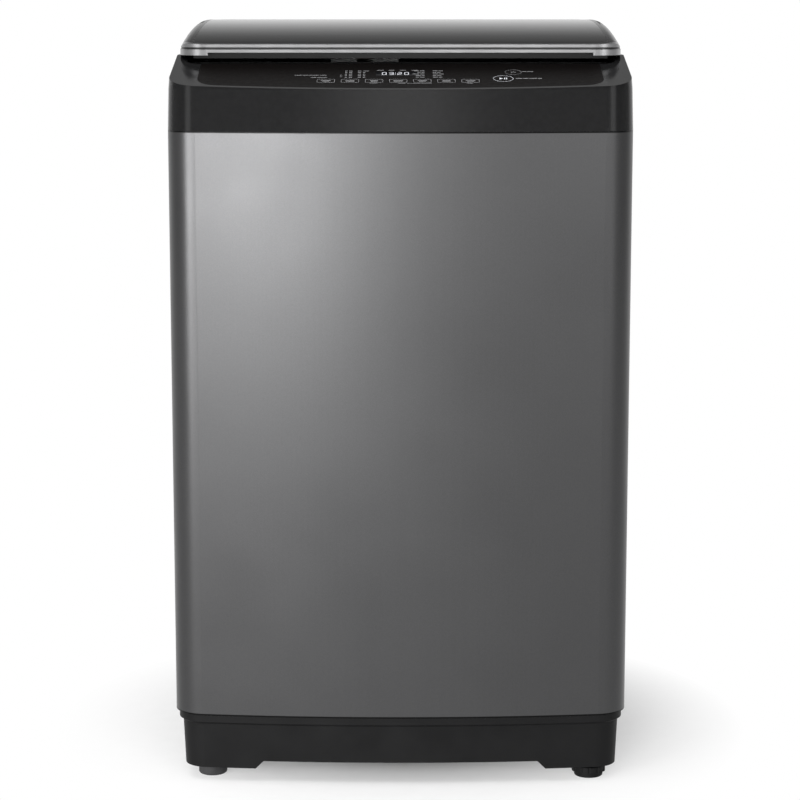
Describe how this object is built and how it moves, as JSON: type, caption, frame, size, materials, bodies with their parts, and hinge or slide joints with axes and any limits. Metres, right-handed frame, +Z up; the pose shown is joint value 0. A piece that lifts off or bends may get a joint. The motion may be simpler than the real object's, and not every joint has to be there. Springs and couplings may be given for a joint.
{
  "type": "top load washing machine",
  "caption": "Upright top-load washer: bowed grey steel cabinet, sloping black control deck, arched glass lid, black base on feet, hung tub with spin basket and pulsator.",
  "frame": {"origin": "centre of the bounding box's bottom face, on the floor under the middle of the machine", "axes": "+Z up, -Y towards the control deck and the user, +X to the user's right"},
  "size_m": [0.56, 0.572, 0.9303],
  "materials": {
    "cabinet_paint": "metallic titanium grey, satin",
    "black_gloss": "glossy black",
    "black_moulding": "fine textured black",
    "overlay_black": "polished black",
    "silver_trim": "satin silver",
    "tinted_glass": "grey tinted, polished",
    "rubber": "matte",
    "galvanised": "zinc coated",
    "stainless": "brushed",
    "tub_plastic": "moulded light grey",
    "pulsator_plastic": "moulded light grey",
    "white_plastic": "moulded white",
    "cast_metal": "as cast",
    "motor_steel": "painted",
    "shaft_steel": "ground",
    "board": "green laminate",
    "display_lens": "smoked",
    "hose_grey": "flexible grey"
  },
  "bodies": {
    "cabinet": {"base_frame": "black_moulding", "fixed_feet": "rubber", "cabinet_wrap": "cabinet_paint", "rear_panel": "galvanised", "service_cover": "galvanised", "rear_screws": "shaft_steel", "corner_brackets": "galvanised", "suspension_rods": "shaft_steel", "suspension_springs": "shaft_steel", "top_cover": "black_gloss", "control_overlay": "overlay_black", "display_window": "display_lens", "control_board": "board", "rear_deck": "black_gloss", "inlet_valve": "white_plastic", "inlet_hose": "hose_grey", "detergent_housing": "white_plastic", "lid_lock_housing": "black_moulding", "drain_outlet": "black_moulding", "drain_hose": "hose_grey"},
    "tub": {"outer_tub": "tub_plastic", "tub_cover": "tub_plastic", "damper_cups": "tub_plastic", "tub_seal": "rubber", "chassis_plate": "galvanised", "gearbox_case": "cast_metal", "shaft_bearings": "shaft_steel", "motor_case": "motor_steel", "drive_belt": "rubber", "drain_valve_body": "white_plastic", "drain_actuator": "black_moulding"},
    "basket": {"basket_wall": "stainless", "basket_bottom": "pulsator_plastic", "balance_ring": "pulsator_plastic", "lint_filters": "white_plastic", "basket_hub": "cast_metal", "spin_shaft": "shaft_steel"},
    "agitator": {"pulsator": "pulsator_plastic", "pulsator_screw": "silver_trim", "wash_shaft": "shaft_steel"},
    "pulley": {"drive_pulley": "cast_metal"},
    "rotor": {"motor_pulley": "cast_metal"},
    "lid": {"lid_frame": "black_gloss", "lid_trim": "silver_trim", "lid_glass": "tinted_glass", "hinge_pins": "shaft_steel"},
    "drawer": {"detergent_drawer": "white_plastic"},
    "bolt": {"lock_bolt": "black_moulding"},
    "leveller": {"levelling_foot": "black_moulding"},
    "plunger": {"valve_plunger": "white_plastic"},
    "key_1": {"key_1": "overlay_black"},
    "key_2": {"key_2": "overlay_black"},
    "key_3": {"key_3": "overlay_black"},
    "key_4": {"key_4": "overlay_black"},
    "key_5": {"key_5": "overlay_black"},
    "key_6": {"key_6": "overlay_black"},
    "key_7": {"key_7": "overlay_black"},
    "power_key": {"power_key": "overlay_black"},
    "start_key": {"start_key": "overlay_black"}
  },
  "joints": [
    {"name": "lid_hinge", "type": "hinge", "parent": "cabinet", "child": "lid", "pos_m": [0, 0.203, 0.9208], "axis": [-1, 0, 0], "range_deg": [0, 95]},
    {"name": "tub_suspension", "type": "slide", "parent": "cabinet", "child": "tub", "axis": [0, 0, 1], "range_m": [-0.02, 0.01], "stiffness_N_per_m": 12000, "springref_m": 0.01986, "deforming": ["suspension_springs", "drain_hose"]},
    {"name": "basket_spin", "type": "hinge", "parent": "tub", "child": "basket", "pos_m": [0, -0.008, 0.25], "axis": [0, 0, 1], "continuous": true},
    {"name": "pulley_spin", "type": "hinge", "parent": "tub", "child": "pulley", "pos_m": [0, -0.008, 0.111], "axis": [0, 0, 1], "continuous": true},
    {"name": "pulsator_turn", "type": "hinge", "parent": "tub", "child": "agitator", "pos_m": [0, -0.008, 0.26], "axis": [0, 0, 1], "continuous": true},
    {"name": "motor_spin", "type": "hinge", "parent": "tub", "child": "rotor", "pos_m": [0, -0.158, 0.111], "axis": [0, 0, 1], "continuous": true},
    {"name": "drawer_slide", "type": "slide", "parent": "cabinet", "child": "drawer", "axis": [0, -1, 0], "range_m": [0, 0.06]},
    {"name": "bolt_slide", "type": "slide", "parent": "cabinet", "child": "bolt", "axis": [1, 0, 0], "range_m": [0, 0.008], "stiffness_N_per_m": 300, "springref_m": -0.002},
    {"name": "foot_levelling", "type": "slide", "parent": "cabinet", "child": "leveller", "axis": [0, 0, 1], "range_m": [0, 0.012]},
    {"name": "plunger_slide", "type": "slide", "parent": "tub", "child": "plunger", "axis": [1, 0, 0], "range_m": [0, 0.014], "stiffness_N_per_m": 400, "springref_m": -0.003},
    {"name": "key_1_press", "type": "slide", "parent": "cabinet", "child": "key_1", "axis": [0, 0.2419, -0.9703], "range_m": [0, 0.001], "stiffness_N_per_m": 500, "springref_m": -0.0008},
    {"name": "key_2_press", "type": "slide", "parent": "cabinet", "child": "key_2", "axis": [0, 0.2419, -0.9703], "range_m": [0, 0.001], "stiffness_N_per_m": 500, "springref_m": -0.0008},
    {"name": "key_3_press", "type": "slide", "parent": "cabinet", "child": "key_3", "axis": [0, 0.2419, -0.9703], "range_m": [0, 0.001], "stiffness_N_per_m": 500, "springref_m": -0.0008},
    {"name": "key_4_press", "type": "slide", "parent": "cabinet", "child": "key_4", "axis": [0, 0.2419, -0.9703], "range_m": [0, 0.001], "stiffness_N_per_m": 500, "springref_m": -0.0008},
    {"name": "key_5_press", "type": "slide", "parent": "cabinet", "child": "key_5", "axis": [0, 0.2419, -0.9703], "range_m": [0, 0.001], "stiffness_N_per_m": 500, "springref_m": -0.0008},
    {"name": "key_6_press", "type": "slide", "parent": "cabinet", "child": "key_6", "axis": [0, 0.2419, -0.9703], "range_m": [0, 0.001], "stiffness_N_per_m": 500, "springref_m": -0.0008},
    {"name": "key_7_press", "type": "slide", "parent": "cabinet", "child": "key_7", "axis": [0, 0.2419, -0.9703], "range_m": [0, 0.001], "stiffness_N_per_m": 500, "springref_m": -0.0008},
    {"name": "power_key_press", "type": "slide", "parent": "cabinet", "child": "power_key", "axis": [0, 0.2419, -0.9703], "range_m": [0, 0.001], "stiffness_N_per_m": 500, "springref_m": -0.0008},
    {"name": "start_key_press", "type": "slide", "parent": "cabinet", "child": "start_key", "axis": [0, 0.2419, -0.9703], "range_m": [0, 0.001], "stiffness_N_per_m": 500, "springref_m": -0.0008}
  ],
  "couplings": [
    {"joint": "pulsator_turn", "follows": "pulley_spin", "ratio": 0.19231},
    {"joint": "motor_spin", "follows": "pulley_spin", "ratio": 3}
  ]
}
